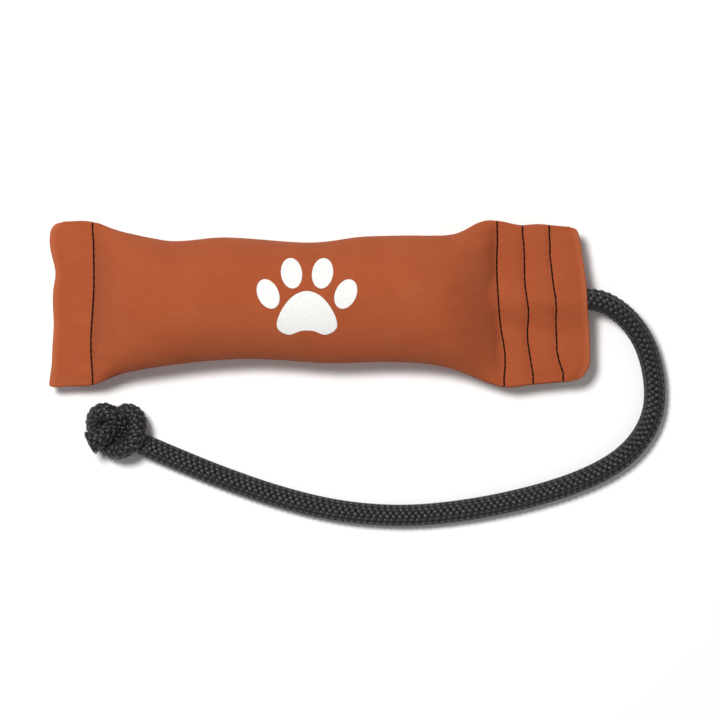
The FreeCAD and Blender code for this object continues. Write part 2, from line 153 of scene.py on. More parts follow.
def set_stage():
    low, high = cad_box
    middle = (Vector(low) + Vector(high)) / 2
    aim = Vector((middle.x + AIM_RIGHT, middle.y + AIM_UP, AIM_HEIGHT))
    data = bpy.data.cameras.new("camera")
    data.sensor_width = 36.0
    data.lens = data.sensor_width * CAMERA_HEIGHT / ((high.x - low.x) * VIEW_WIDTH)
    data.clip_start = 0.05
    camera = bpy.data.objects.new("camera", data)
    camera.location = aim + Vector((0, 0, CAMERA_HEIGHT))
    camera.rotation_euler = (0, 0, 0)
    bpy.context.collection.objects.link(camera)
    bpy.context.scene.camera = camera

    for name, place, size, power, colour in LIGHTS:
        light = bpy.data.lights.new(name, "AREA")
        light.energy = power
        light.size = size
        light.color = colour
        lamp = bpy.data.objects.new(name, light)
        lamp.location = aim + Vector(place)
        lamp.rotation_euler = (-Vector(place)).to_track_quat("-Z", "Y").to_euler()
        bpy.context.collection.objects.link(lamp)
    world = bpy.data.worlds.new("studio")
    world.use_nodes = True
    background = world.node_tree.nodes["Background"]
    background.inputs["Color"].default_value = (*SKY_COLOUR, 1)
    background.inputs["Strength"].default_value = SKY_STRENGTH
    bpy.context.scene.world = world
    bpy.context.scene.view_settings.view_transform = "Standard"

    floor_mesh = bpy.data.meshes.new("floor")
    half = FLOOR_HALF
    corners = [(-half, -half, 0), (half, -half, 0), (half, half, 0), (-half, half, 0)]
    floor_mesh.from_pydata(corners, [], [(0, 1, 2, 3)])
    floor = bpy.data.objects.new("floor", floor_mesh)
    floor.location.z = -FLOOR_DROP
    bpy.context.collection.objects.link(floor)
    floor_material, shader, _ = plain_material("pale_floor", FLOOR_COLOUR, 0.9)
    shader.inputs["Specular IOR Level"].default_value = 0.1
    floor.data.materials.append(floor_material)


# ---------------------------------------------------------------- material tools

def plain_material(name, colour, roughness):
    material = bpy.data.materials.new(name)
    material.use_nodes = True
    tree = material.node_tree
    shader = tree.nodes["Principled BSDF"]
    shader.inputs["Base Color"].default_value = (*colour, 1)
    shader.inputs["Roughness"].default_value = roughness
    return material, shader, tree


def node(tree, kind, **settings):
    made = tree.nodes.new(kind)
    for key, value in settings.items():
        setattr(made, key, value)
    return made


def maths(tree, operation, *operands):
    made = node(tree, "ShaderNodeMath", operation=operation)
    for socket, value in zip(made.inputs, operands):
        if isinstance(value, (int, float)):
            socket.default_value = value
        else:
            tree.links.new(value, socket)
    return made.outputs[0]


def ramp(tree, factor, stops):
    made = node(tree, "ShaderNodeValToRGB")
    elements = made.color_ramp.elements
    while len(elements) < len(stops):
        elements.new(0.5)
    for element, (place, colour) in zip(elements, stops):
        element.position = place
        element.color = (*colour, 1)
    tree.links.new(factor, made.inputs["Fac"])
    return made.outputs["Color"]


def noise(tree, vector, scale, detail):
    made = node(tree, "ShaderNodeTexNoise")
    made.inputs["Scale"].default_value = scale
    made.inputs["Detail"].default_value = detail
    tree.links.new(vector, made.inputs["Vector"])
    return made.outputs["Fac"]


def stretched_noise(tree, vector, scales, detail):
    """Noise with a scale of its own along each axis."""
    mapping = node(tree, "ShaderNodeMapping")
    mapping.inputs["Scale"].default_value = scales
    tree.links.new(vector, mapping.inputs["Vector"])
    return noise(tree, mapping.outputs[0], 1.0, detail)


def bump(tree, shader, height, distance, strength):
    made = node(tree, "ShaderNodeBump")
    made.inputs["Distance"].default_value = distance
    made.inputs["Strength"].default_value = strength
    tree.links.new(height, made.inputs["Height"])
    tree.links.new(made.outputs["Normal"], shader.inputs["Normal"])


def place_vector(tree, attribute=None):
    """The object's own coordinates, or a point attribute, as a vector."""
    if attribute is None:
        return node(tree, "ShaderNodeTexCoord").outputs["Object"]
    return node(tree, "ShaderNodeAttribute", attribute_name=attribute).outputs["Vector"]


def weave(tree, vector):
    """The height of a plain weave: warp and weft threads that take turns on top."""
    parts = node(tree, "ShaderNodeSeparateXYZ")
    tree.links.new(vector, parts.inputs[0])
    waves = []
    for axis in ("X", "Y"):
        turn = maths(tree, "MULTIPLY", parts.outputs[axis], 2 * math.pi / WEAVE)
        waves.append(maths(tree, "SINE", turn))
    return maths(tree, "MULTIPLY", *waves)


def canvas_material():
    """Plain-weave cotton duck: warp and weft ribs, a fine slub, paler worn folds, and painted shade
    that makes the weave's crowns paler and its hollows darker.
    """
    material, shader, tree = plain_material("duck_canvas", (0.38, 0.088, 0.033), 0.9)
    shader.inputs["Specular IOR Level"].default_value = 0.08
    shader.inputs["Sheen Weight"].default_value = 0.12
    shader.inputs["Sheen Roughness"].default_value = 0.5
    shader.inputs["Sheen Tint"].default_value = (1.0, 0.62, 0.42, 1)
    cloth = place_vector(tree, "cloth")
    ribs = weave(tree, cloth)
    slub = stretched_noise(tree, cloth, (140, 1500, 1), 2.0)
    slub_across = stretched_noise(tree, cloth, (1500, 140, 1), 2.0)
    height = maths(tree, "MULTIPLY_ADD", slub, 1.3, ribs)
    height = maths(tree, "MULTIPLY_ADD", slub_across, 1.3, height)
    bump(tree, shader, height, 0.09 * MM, 0.85)
    patches = noise(tree, cloth, 38.0, 4.0)
    wear = node(tree, "ShaderNodeAttribute", attribute_name="wear").outputs["Fac"]
    worn = maths(tree, "MULTIPLY", wear, maths(tree, "ADD", noise(tree, cloth, 900.0, 2.0), 0.2))
    shade = maths(tree, "MULTIPLY_ADD", patches, 0.30, -0.15)
    # painted shade: the colour follows the weave's ribs, paler on the threads' crowns and darker in
    # the hollows between them
    shade = maths(tree, "MULTIPLY_ADD", ribs, 0.11, shade)
    shade = maths(tree, "ADD", shade, maths(tree, "MULTIPLY_ADD", slub, 0.22, -0.11))
    shade = maths(tree, "MULTIPLY_ADD", worn, 0.35, shade)
    shade = maths(tree, "ADD", shade, 0.5)
    dark, middle, pale = (0.250, 0.050, 0.016), (0.372, 0.082, 0.029), (0.510, 0.150, 0.068)
    colour = ramp(tree, shade, [(0.0, dark), (0.5, middle), (1.0, pale)])
    tree.links.new(colour, shader.inputs["Base Color"])
    return material


def ink_material():
    """Screen-printed white ink: it fills the weave but lets its ribs show."""
    material, shader, tree = plain_material("print_ink", (0.84, 0.84, 0.82), 0.62)
    shader.inputs["Specular IOR Level"].default_value = 0.3
    place = place_vector(tree)
    grain = noise(tree, place, 1400.0, 2.0)
    bump(tree, shader, maths(tree, "ADD", weave(tree, place), grain), 0.05 * MM, 0.6)
    colour = ramp(tree, grain, [(0.25, (0.74, 0.735, 0.72)), (0.6, (0.835, 0.835, 0.825))])
    tree.links.new(colour, shader.inputs["Base Color"])
    return material


def thread_material():
    """Dark bonded sewing thread with a diagonal twist."""
    material, shader, tree = plain_material("bonded_thread", (0.006, 0.002, 0.0015), 0.7)
    shader.inputs["Specular IOR Level"].default_value = 0.12
    place = place_vector(tree)
    wave = node(tree, "ShaderNodeTexWave", wave_type="BANDS", bands_direction="DIAGONAL")
    wave.inputs["Scale"].default_value = 420.0
    tree.links.new(place, wave.inputs["Vector"])
    bump(tree, shader, wave.outputs["Fac"], 0.05 * MM, 0.8)
    dark, pale = (0.003, 0.001, 0.0008), (0.012, 0.005, 0.003)
    colour = ramp(tree, wave.outputs["Fac"], [(0.0, dark), (1.0, pale)])
    tree.links.new(colour, shader.inputs["Base Color"])
    return material


def rope_material(name, dark, pale):
    """Braided polypropylene: fine filaments along each strand, with a soft plastic lustre."""
    material, shader, tree = plain_material(name, dark, 0.42)
    shader.inputs["Specular IOR Level"].default_value = 0.55
    shader.inputs["Sheen Weight"].default_value = 0.05
    shader.inputs["Sheen Roughness"].default_value = 0.4
    filaments = stretched_noise(tree, place_vector(tree, "yarn"), (160, 9, 3.7), 3.0)
    bump(tree, shader, filaments, 0.16 * MM, 0.9)
    colour = ramp(tree, filaments, [(0.3, dark), (0.72, pale)])
    tree.links.new(colour, shader.inputs["Base Color"])
    rough = maths(tree, "MULTIPLY_ADD", filaments, 0.3, 0.26)
    tree.links.new(rough, shader.inputs["Roughness"])
    return material


def melted_material():
    """Melted and hardened polypropylene with small pits."""
    material, shader, tree = plain_material("melted_end", (0.012, 0.012, 0.013), 0.34)
    pits = noise(tree, place_vector(tree), 620.0, 4.0)
    bump(tree, shader, pits, 0.35 * MM, 0.8)
    colour = ramp(tree, pits, [(0.3, (0.007, 0.007, 0.008)), (0.75, (0.034, 0.034, 0.036))])
    tree.links.new(colour, shader.inputs["Base Color"])
    return material


def speckled_material(name, low, high, scale, roughness, depth):
    """Grainy matter in two shades: fibre or foam."""
    material, shader, tree = plain_material(name, low, roughness)
    grain = noise(tree, place_vector(tree), scale, 5.0)
    bump(tree, shader, grain, depth, 0.9)
    tree.links.new(ramp(tree, grain, [(0.3, low), (0.7, high)]), shader.inputs["Base Color"])
    return material


# ---------------------------------------------------------------- mesh tools

def make_piece(name, points, faces, material):
    """A smooth-shaded mesh object, with the faces of every closed shell turned outwards."""
    mesh = bpy.data.meshes.new(name)
    mesh.from_pydata([tuple(p) for p in points], [], faces)
    mesh.validate()
    shape = bmesh.new()
    shape.from_mesh(mesh)
    bmesh.ops.recalc_face_normals(shape, faces=shape.faces)
    shape.to_mesh(mesh)
    shape.free()
    mesh.update()
    piece = bpy.data.objects.new(name, mesh)
    bpy.context.collection.objects.link(piece)
    mesh.materials.append(material)
    mesh.polygons.foreach_set("use_smooth", [True] * len(mesh.polygons))
    return piece


def set_vectors(piece, name, values):
    attribute = piece.data.attributes.new(name, "FLOAT_VECTOR", "POINT")
    attribute.data.foreach_set("vector", np.asarray(values, dtype=np.float32).ravel())


def set_values(piece, name, values):
    attribute = piece.data.attributes.new(name, "FLOAT", "POINT")
    attribute.data.foreach_set("value", np.asarray(values, dtype=np.float32).ravel())


def unit(vectors):
    return vectors / np.linalg.norm(vectors, axis=-1, keepdims=True)


def way_along(line):
    """The distance from a line's first point to each of its points."""
    return np.concatenate([[0], np.cumsum(np.linalg.norm(np.diff(line, axis=0), axis=1))])


def spline_points(name, corners, order):
    """Points a STEP apart along the NURBS spline that has these control points."""
    curve = bpy.data.curves.new(name, "CURVE")
    curve.dimensions = "3D"
    spline = curve.splines.new("NURBS")
    spline.points.add(len(corners) - 1)
    for point, corner in zip(spline.points, corners):
        point.co = (*corner, 1.0)
    spline.order_u = order
    spline.use_endpoint_u = True
    spline.resolution_u = 24
    holder = bpy.data.objects.new(name, curve)
    mesh = bpy.data.meshes.new_from_object(holder)
    line = np.array([v.co for v in mesh.vertices])
    bpy.data.objects.remove(holder)
    bpy.data.meshes.remove(mesh)
    along = way_along(line)
    count = int(round(along[-1] / STEP))
    at = np.linspace(0, along[-1], count + 1)
    return np.stack([np.interp(at, along, line[:, k]) for k in range(3)], axis=1)


def carried_frames(line, first_side=(0, 0, 1)):
    """Two sides at right angles to the line, which turn with it and don't twist about it."""
    tangents = unit(np.gradient(line, axis=0))
    sides = np.zeros_like(line)
    side = np.array(first_side, float)
    for i, tangent in enumerate(tangents):
        side = side - tangent * side.dot(tangent)
        side = side / np.linalg.norm(side)
        sides[i] = side
    return sides, np.cross(tangents, sides)


def tube_faces(rings, around, base=0, caps=True):
    """Faces of a tube whose points are given ring by ring, from number base on."""
    faces = []
    for i in range(rings - 1):
        for k in range(around):
            a = base + i * around + k
            b = base + i * around + (k + 1) % around
            faces.append((a, b, b + around, a + around))
    if caps:
        faces.append(tuple(base + k for k in reversed(range(around))))
        faces.append(tuple(base + (rings - 1) * around + k for k in range(around)))
    return faces


# ---------------------------------------------------------------- the braided rope

# The braid's section, in rope radii.
STRAND_REACH = 0.845  # a strand's middle, from the rope's
STRAND_LIFT = 0.095  # how far it goes out and in as it passes over and under
STRAND_WIDE = 0.235
STRAND_SWELL = 0.02  # wider on top
STRAND_TALL = 0.135
STRAND_SIDES = 6
CORE_REACH = 0.74
CORE_SIDES = 14


def braid(name, line, radius, start, end, material, first_side=(0, 0, 1)):
    """Diamond braid about a line: strands that turn both ways, each over one and under one.
    start and end are the first and the last index of the line that the piece covers."""
    sides, others = carried_frames(line, first_side)
    steps = way_along(line)
    radius = np.broadcast_to(radius, len(line))
    keep = slice(start, end + 1)
    points, faces, yarn = [], [], []

    def add_tube(rings, along, number):
        """Adds a tube, with yarn coordinates: along it, round it, and its number."""
        count, around = rings.shape[:2]
        base = sum(len(part) for part in points)
        faces.extend(tube_faces(count, around, base))
        points.append(rings.reshape(-1, 3))
        mark = np.zeros((count, around, 3))
        mark[:, :, 0] = np.reshape(along, (-1, 1))
        mark[:, :, 1] = np.cos(np.arange(around) * 2 * math.pi / around)
        mark[:, :, 2] = number
        yarn.append(mark.reshape(-1, 3))

    def section(middle, across, up, wide, tall, around):
        """Rings of points: an ellipse at every point of a line."""
        angles = np.arange(around) * 2 * math.pi / around
        return (
            middle[:, None, :]
            + across[:, None, :] * (wide[:, None] * np.cos(angles))[:, :, None]
            + up[:, None, :] * (tall[:, None] * np.sin(angles))[:, :, None]
        )

    for k in range(STRANDS):
        way = 1 if k % 2 == 0 else -1
        turn = 2 * math.pi * (k // 2) / (STRANDS // 2) + way * 2 * math.pi * steps / LAY
        lift = way * np.cos(math.pi * STRANDS * steps / LAY)
        out = np.cos(turn)[:, None] * sides + np.sin(turn)[:, None] * others
        path = line + out * (radius * (STRAND_REACH + STRAND_LIFT * lift))[:, None]
        along = unit(np.gradient(path, axis=0))
        across = unit(np.cross(along, out))
        wide = radius * (STRAND_WIDE + STRAND_SWELL * lift)
        rings = section(
            path, across, np.cross(across, along), wide, radius * STRAND_TALL, STRAND_SIDES
        )
        add_tube(rings[keep], steps[keep], k)
    reach = radius * CORE_REACH
    core = section(line, sides, others, reach, reach, CORE_SIDES)[keep][::4]
    add_tube(core, 0.0, 0)
    piece = make_piece(name, np.concatenate(points), faces, material)
    set_vectors(piece, "yarn", np.concatenate(yarn))
    return piece


def whole_fours(steps):
    """The nearest multiple of four steps, because the rope's core has a ring at every fourth."""
    return int(round(steps / 4)) * 4


def make_rope(material):
    """One braid in three pieces: its root in the hem, the neck, and the free rope."""
    line = spline_points("throw_rope_line", ROPE_ROUTE, 3)
    root_end = whole_fours(ROOT_LENGTH / STEP)
    neck_end = whole_fours((ROOT_LENGTH + NECK_LENGTH) / STEP)
    last = (len(line) - 1) // 4 * 4
    root = braid("rope_in_hem", line, ROPE_RADIUS, 0, root_end, material)
    neck = braid("rope_neck", line, ROPE_RADIUS, root_end, neck_end, material)
    rope = braid("throw_rope_braid", line, ROPE_RADIUS, neck_end, last, material)
    return root, neck, rope, line[neck_end : last + 1], line


def make_knot(rope_line, material, end_material):
    """The overhand knot, tied in the same braid, with its cut end and the melted seal on it."""
    end = Vector(rope_line[-1])
    before = [end, end + Vector(rope_line[-1] - rope_line[-12]) * 1.2]
    corners = [KNOT_MIDDLE + Vector(corner) * MM for corner in KNOT_ROUTE]
    line = spline_points("grip_knot_line", before + corners, 4)
    share = np.linspace(0, 1, len(line))
    squeeze = np.clip(np.minimum(share * 14, (1 - share) * 16), 0, 1)
    radius = ROPE_RADIUS + (KNOT_RADIUS - ROPE_RADIUS) * squeeze * squeeze * (3 - 2 * squeeze)
    last = (len(line) - 1) // 4 * 4
    sides, _ = carried_frames(rope_line)
    knot = braid("knotted_braid", line, radius, 0, last, material, sides[-1])
    tip = melted_tip(line[last], line[last] - line[last - 8], end_material)
    return knot, tip


# Depth and reach of the melted bead's rings, in mm, from the rope towards its tip.
TIP_PROFILE = [
    (-1.2, 4.6), (-0.8, 5.3), (-0.2, 5.8), (0.45, 5.7), (0.8, 5.0), (0.95, 3.4), (0.7, 1.6),
]
TIP_SIDES = 28
TIP_FLATNESS = 0.94


def melted_tip(place, heading, material):
    """A flattened, uneven bead of melted rope over the cut end."""
    heading = heading / np.linalg.norm(heading)
    side = np.cross(heading, (0, 0, 1.0))
    side /= np.linalg.norm(side)
    flat = np.cross(heading, side) * TIP_FLATNESS
    points = []
    for depth, reach in TIP_PROFILE:
        for k in range(TIP_SIDES):
            turn = 2 * math.pi * k / TIP_SIDES
            uneven = 1 + 0.035 * math.sin(3 * turn + 0.8) + 0.025 * math.sin(7 * turn)
            radial = side * math.cos(turn) + flat * math.sin(turn)
            points.append(place + heading * depth * MM + radial * reach * uneven * MM)
    return make_piece("melted_tip", points, tube_faces(len(TIP_PROFILE), TIP_SIDES), material)


# ---------------------------------------------------------------- the canvas

SIDE_LEVELS = np.arange(4, 26, 0.5) * MM  # heights at which the long sides are probed
END_LEVELS = np.arange(7, 20, 0.5) * MM  # and the two ends
END_PROBES = 240  # over the width of an end
FAR = 0.1  # outside the canvas, where a probe starts
HALF_WIDTH = 0.037  # of the canvas, roughly
ROW_PARTS = 14  # stretches of a stitch row, each read as one place
SEAM_PASSES, SIDE_PASSES, END_PASSES, HEM_PASSES = 30, 3, 4, 2  # of smoothing


def cad_tree(names):
    """A search tree of these nodes' packed surfaces."""
    points, faces = [], []
    for name in names:
        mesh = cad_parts[name].data
        base = len(points)
        points += [tuple(v.co) for v in mesh.vertices]
        faces += [tuple(base + v for v in p.vertices) for p in mesh.polygons]
    return BVHTree.FromPolygons(points, faces)


def row_line(node_name):
    """A stitch row as x over y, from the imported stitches."""
    points = np.array([v.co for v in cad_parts[node_name].data.vertices])
    edges = np.linspace(points[:, 1].min(), points[:, 1].max(), ROW_PARTS + 1)
    places, values = [], []
    for low, high in zip(edges[:-1], edges[1:]):
        chosen = points[(points[:, 1] >= low) & (points[:, 1] <= high)]
        if len(chosen):
            places.append(chosen[:, 1].mean())
            values.append(chosen[:, 0].mean())
    return np.array(places), np.array(values)


def canvas_box():
    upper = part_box("upper_panel")
    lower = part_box("lower_panel")
    return Vector(map(min, upper[0], lower[0])), Vector(map(max, upper[1], lower[1]))


def smoothed(values, passes):
    """The values with their bends eased, and their two ends as they were."""
    values = np.array(values, float)
    for _ in range(passes):
        values[1:-1] = (values[:-2] + 2 * values[1:-1] + values[2:]) / 4
    return values


def side_lines(tree):
    """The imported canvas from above: places in x, and there both sides' y and the seams' z."""
    low, high = canvas_box()
    xs = np.arange(low.x + 0.4 * MM, high.x - 0.4 * MM, 1.0 * MM)
    lines = []
    for way in (1, -1):
        for x in xs:
            best = (-1.0, 0.0)
            for z in SIDE_LEVELS:
                hit = tree.ray_cast(Vector((x, FAR * way, z)), Vector((0, -way, 0)))[0]
                if hit and hit.y * way > best[0]:
                    best = (hit.y * way, z)
            lines.append((best[0] * way, best[1]))
    lines = np.array(lines).reshape(2, len(xs), 2)
    far, near = (smoothed(line, SIDE_PASSES) for line in lines[:, :, 0])
    return xs, far, near, smoothed(lines[:, :, 1].mean(axis=0), SEAM_PASSES)


def end_line(tree, sides, way, corner_x):
    """The outline of one end, from the far side round to the near side, and the share of
    its length at each point."""
    xs, far, near, _ = sides
    start = (corner_x[0], np.interp(corner_x[0], xs, far))
    stop = (corner_x[1], np.interp(corner_x[1], xs, near))
    line = [start]
    for y in np.linspace(start[1] - 0.15 * MM, stop[1] + 0.15 * MM, END_PROBES):
        reach = []
        for z in END_LEVELS:
            hit = tree.ray_cast(Vector((2 * FAR * way, y, z)), Vector((-way, 0, 0)))[0]
            if hit:
                reach.append(hit.x * way)
        line.append((max(reach) * way, y))
    line.append(stop)
    line = np.array(line)
    line[:, 0] = smoothed(line[:, 0], END_PASSES)
    along = way_along(line)
    return line, along / along[-1]


SEGMENTS = [14, 118, 9, 9, 11]  # steps between the closed end, the four rows and the mouth
ANCHORS = np.cumsum([0] + SEGMENTS)
ACROSS = 44  # steps across one panel
AROUND = 2 * ACROSS
# Places across a panel, from 1 at the far seam to -1 at the near one, closer near the seams.
SHARES = np.sin(math.pi / 2 * (1 - 2 * np.arange(ACROSS + 1) / ACROSS))
LOWER_CLOTH = 0.4  # offset of the cloth pattern on the lower panel
INNER_CLOTH = 0.7  # and on the inside of both
SEAM_INSET = 0.3 * MM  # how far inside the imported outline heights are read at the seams
CLOSED_CORNERS = (-0.1215, -0.1262)  # x where the closed end turns into the far and the near side
MOUTH_CORNERS = (0.1188, 0.1188)


def canvas_plan(tree, sides):
    """Places in plan of the grid's points over one panel, with grid lines along the stitch
    rows, and the directions in which the two folded ends point."""
    xs, far, near, _ = sides

    def between_sides(x):
        middle = (np.interp(x, xs, far) + np.interp(x, xs, near)) / 2
        return middle + SHARES * (np.interp(x, xs, far) - np.interp(x, xs, near)) / 2

    rows = [row_line(name + "_needle_thread") for name in ROWS]
    anchor = np.zeros((6, ACROSS + 1, 2))
    for k, (places, values) in enumerate(rows):
        y = SHARES * HALF_WIDTH
        for _ in range(4):  # x and y settle together
            x = np.interp(y, places, values)
            y = between_sides(x)
        anchor[k + 1, :, 0], anchor[k + 1, :, 1] = x, y
    outwards = []
    for k, way, corners in ((0, -1, CLOSED_CORNERS), (5, 1, MOUTH_CORNERS)):
        line, along = end_line(tree, sides, way, corners)
        at = (1 - SHARES) / 2
        place = np.stack([np.interp(at, along, line[:, i]) for i in (0, 1)], axis=1)
        tangent = unit(np.gradient(place, axis=0))
        aim = np.stack([tangent[:, 1], -tangent[:, 0]], axis=1)
        aim *= np.sign(aim[ACROSS // 2, 0]) * way
        edge = (np.abs(SHARES) ** 10)[:, None]
        aim = unit(aim * (1 - edge) + np.array([way, 0.0]) * edge)
        anchor[k] = place - aim * HEM / 2
        outwards.append(np.concatenate([aim, np.zeros((ACROSS + 1, 1))], axis=1))
    plan = np.zeros((ANCHORS[-1] + 1, ACROSS + 1, 2))
    for k, count in enumerate(SEGMENTS):
        for step in range(count + 1):
            share = step / count
            plan[ANCHORS[k] + step] = anchor[k] + (anchor[k + 1] - anchor[k]) * share
    for i in range(len(plan)):
        x, y = plan[i, :, 0], plan[i, :, 1].copy()
        if ANCHORS[1] < i < ANCHORS[4]:
            plan[i, :, 1] = between_sides(x)
        else:
            top, bottom = np.interp(x[0], xs, far), np.interp(x[-1], xs, near)
            share = (y - y[-1]) / (y[0] - y[-1])
            plan[i, :, 1] = y + (top - y[0]) * share + (bottom - y[-1]) * (1 - share)
    return plan, outwards


def canvas_rings():
    """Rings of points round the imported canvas. Points 0 to ACROSS of a ring go over the top
    from the far seam to the near one, and the rest go back underneath."""
    tree = cad_tree(["upper_panel", "lower_panel"])
    sides = side_lines(tree)
    plan, outwards = canvas_plan(tree, sides)
    steps = len(plan)
    level = np.interp(plan[:, :, 0], sides[0], sides[3])
    heights = np.zeros((2, steps, ACROSS + 1))
    for i in range(steps):
        for j, share in enumerate(SHARES):
            x, y = plan[i, j]
            y -= math.copysign(min(SEAM_INSET, abs(y)), share) * abs(share) ** 6
            for side, way in ((0, 1), (1, -1)):
                hit = tree.ray_cast(Vector((x, y, FAR * way)), Vector((0, 0, -way)))[0]
                heights[side, i, j] = hit.z if hit else level[i, j] + way * HEM
    for side in (0, 1):
        for i in [*range(ANCHORS[1] - 2), *range(ANCHORS[4] + 3, steps)]:  # the two hems
            heights[side, i] = smoothed(heights[side, i], HEM_PASSES)
        heights[side][:, [0, -1]] = level[:, [0, -1]]
    rings = np.zeros((steps, AROUND, 3))
    rings[:, : ACROSS + 1, :2] = plan
    rings[:, : ACROSS + 1, 2] = heights[0]
    rings[:, ACROSS + 1 :, :2] = plan[:, ACROSS - 1 : 0 : -1]
    rings[:, ACROSS + 1 :, 2] = heights[1][:, ACROSS - 1 : 0 : -1]
    return rings, outwards, level[:, ACROSS // 2]


def round_the_back(values):
    """Values of one panel's columns, repeated for the whole ring."""
    return np.concatenate([values, values[..., ACROSS - 1 : 0 : -1]], axis=-1)


def flat_cut(rings):
    """Where each point of the two panels was on the flat cloth: along the bumper, and round
    it from the middle of its panel. The lower panel has a stretch of cloth of its own."""
    along = np.linalg.norm(np.diff(rings, axis=0), axis=2)
    along = np.concatenate([np.zeros((1, AROUND)), np.cumsum(along, axis=0)])
    along -= along[len(rings) // 2]
    across = round_way(rings)
    panels = []
    for first, other_cloth in ((0, 0.0), (ACROSS, LOWER_CLOTH)):
        flat = np.zeros((len(rings), AROUND + 1, 3))
        flat[:, :AROUND, 0] = along
        flat[:, AROUND, 0] = along[:, 0]
        flat[:, :, 1] = across - across[:, [first + ACROSS // 2]]
        flat[:, :, 2] = other_cloth
        panels.append(flat[:, first : first + ACROSS + 1])
    return panels


def round_way(rings):
    """The distance round each ring from its first point to every point, and back to it."""
    loop = np.concatenate([rings, rings[:, :1]], axis=1)
    width = np.cumsum(np.linalg.norm(np.diff(loop, axis=1), axis=2), axis=1)
    return np.concatenate([np.zeros((len(rings), 1)), width], axis=1)


# The cloth simulation of the stuffed stretch, made ten times life size to suit its solver.
SIM_SCALE = 10.0
SIM_FRAMES = 20
SIM_CLOTH = {
    "quality": 8,
    "mass": 0.25,
    "tension_stiffness": 40,
    "compression_stiffness": 40,
    "shear_stiffness": 12,
    "bending_stiffness": 0.6,
    "air_damping": 3.0,
    "vertex_group_mass": "pins",
    "use_pressure": True,
    "uniform_pressure_force": 2.0,
}
HIGHEST_WRINKLE, DEEPEST_WRINKLE = 1.8, 0.7  # mm
BROAD_PASSES = 60  # of smoothing, to part the broad change of shape from the wrinkles
ON_GROUND = 1.0 * MM  # cloth below this height lies on the ground and isn't wrinkled


def pressed_out(before):
    """The stuffed stretch as the simulation leaves it: a tube cut to one girth and one length,
    held flat at its stitch rows and pressed out from inside."""
    count = len(before)
    faces = tube_faces(count, AROUND, caps=False)
    points = before.reshape(-1, 3) * SIM_SCALE
    cloth = make_piece("cloth_form", points, faces, bpy.data.materials[0])
    pins = cloth.vertex_groups.new(name="pins")
    pins.add([i * AROUND + k for i in (0, count - 1) for k in range(AROUND)], 1.0, "REPLACE")
    turn = way_along(np.concatenate([before[count // 2], before[count // 2, :1]]))
    turn = turn[:AROUND] / turn[-1] * 2 * math.pi
    crest = np.linalg.norm(np.diff(before[:, ACROSS // 2], axis=0), axis=1).sum()
    girth = 2 * GIRTH_HALF
    cut = np.zeros(before.shape)
    cut[:, :, 0] = np.linspace(0, crest, count)[:, None]
    cut[:, :, 1] = girth / (2 * math.pi) * np.cos(turn)
    cut[:, :, 2] = girth / (2 * math.pi) * np.sin(turn)
    cloth.shape_key_add(name="Basis")
    rest = cloth.shape_key_add(name="cut")
    rest.data.foreach_set("co", (cut * SIM_SCALE).ravel())
    modifier = cloth.modifiers.new("cloth", "CLOTH")
    settings = modifier.settings
    settings.rest_shape_key = rest
    for name, value in SIM_CLOTH.items():
        setattr(settings, name, value)
    settings.effector_weights.gravity = 0.0
    modifier.collision_settings.use_collision = False
    scene = bpy.context.scene
    scene.frame_start, scene.frame_end = 1, SIM_FRAMES
    modifier.point_cache.frame_start, modifier.point_cache.frame_end = 1, SIM_FRAMES
    for step in range(1, SIM_FRAMES + 1):
        scene.frame_set(step)
    graph = bpy.context.evaluated_depsgraph_get()
    done = cloth.evaluated_get(graph).to_mesh()
    after = np.array([v.co for v in done.vertices]).reshape(before.shape) / SIM_SCALE
    bpy.data.objects.remove(cloth)
    scene.frame_set(1)
    return after


def swell(rings):
    """Adds the wrinkles that the cloth gets next to its rows when the tube is stuffed."""
    first, last = ANCHORS[1], ANCHORS[2]
    before = rings[first : last + 1]
    count = len(before)
    change = pressed_out(before) - before
    broad = change.copy()
    for _ in range(BROAD_PASSES):
        sides = np.roll(broad, 1, axis=1) + np.roll(broad, -1, axis=1)
        broad[1:-1] = (broad[:-2] + broad[2:] + sides[1:-1]) / 4
    normals = ring_normals(rings)[first : last + 1]
    wrinkle = ((change - broad) * normals).sum(axis=2) / MM
    wrinkle = np.where(
        wrinkle > 0,
        HIGHEST_WRINKLE * np.tanh(wrinkle / HIGHEST_WRINKLE),
        DEEPEST_WRINKLE * np.tanh(wrinkle / DEEPEST_WRINKLE),
    )
    near_row = np.clip(np.minimum(np.arange(count), count - 1 - np.arange(count)) / 3, 0, 1)
    wrinkle *= near_row[:, None] * (1 - np.abs(round_the_back(SHARES)) ** 14)[None, :]
    wrinkle[before[:, :, 2] < ON_GROUND] = 0.0
    result = rings.copy()
    result[first : last + 1] += normals * (wrinkle * MM)[:, :, None]
    return result


def keep_outline(rings, before):
    """Brings the two sides back to their lines, the top to its height, and the rest off
    the ground."""
    for i in range(len(rings)):
        y, aim = rings[i, :, 1], before[i, :, 1]
        share = (y - y.min()) / (y.max() - y.min())
        rings[i, :, 1] = aim.min() + share * (aim.max() - aim.min())
    over = np.maximum(rings[:, :, 2] - before[:, :, 2].max(), 0)
    rings[:, :, 2] -= over
    rings[:, :, 2] = np.maximum(rings[:, :, 2], 0.0)
    return rings


def ring_normals(rings):
    """Outward normals at the rings' points, a little smoothed."""
    along = np.gradient(rings, axis=0)
    across = np.roll(rings, -1, axis=1) - np.roll(rings, 1, axis=1)
    normals = unit(np.cross(across, along))
    if normals[len(rings) // 2, ACROSS // 2, 2] < 0:
        normals = -normals
    soft = normals.copy()
    for _ in range(2):
        soft = soft + (np.roll(soft, 1, axis=1) + np.roll(soft, -1, axis=1)) / 2
        soft[1:-1] = soft[1:-1] + (soft[:-2] + soft[2:]) / 2
        soft = unit(soft)
    return soft


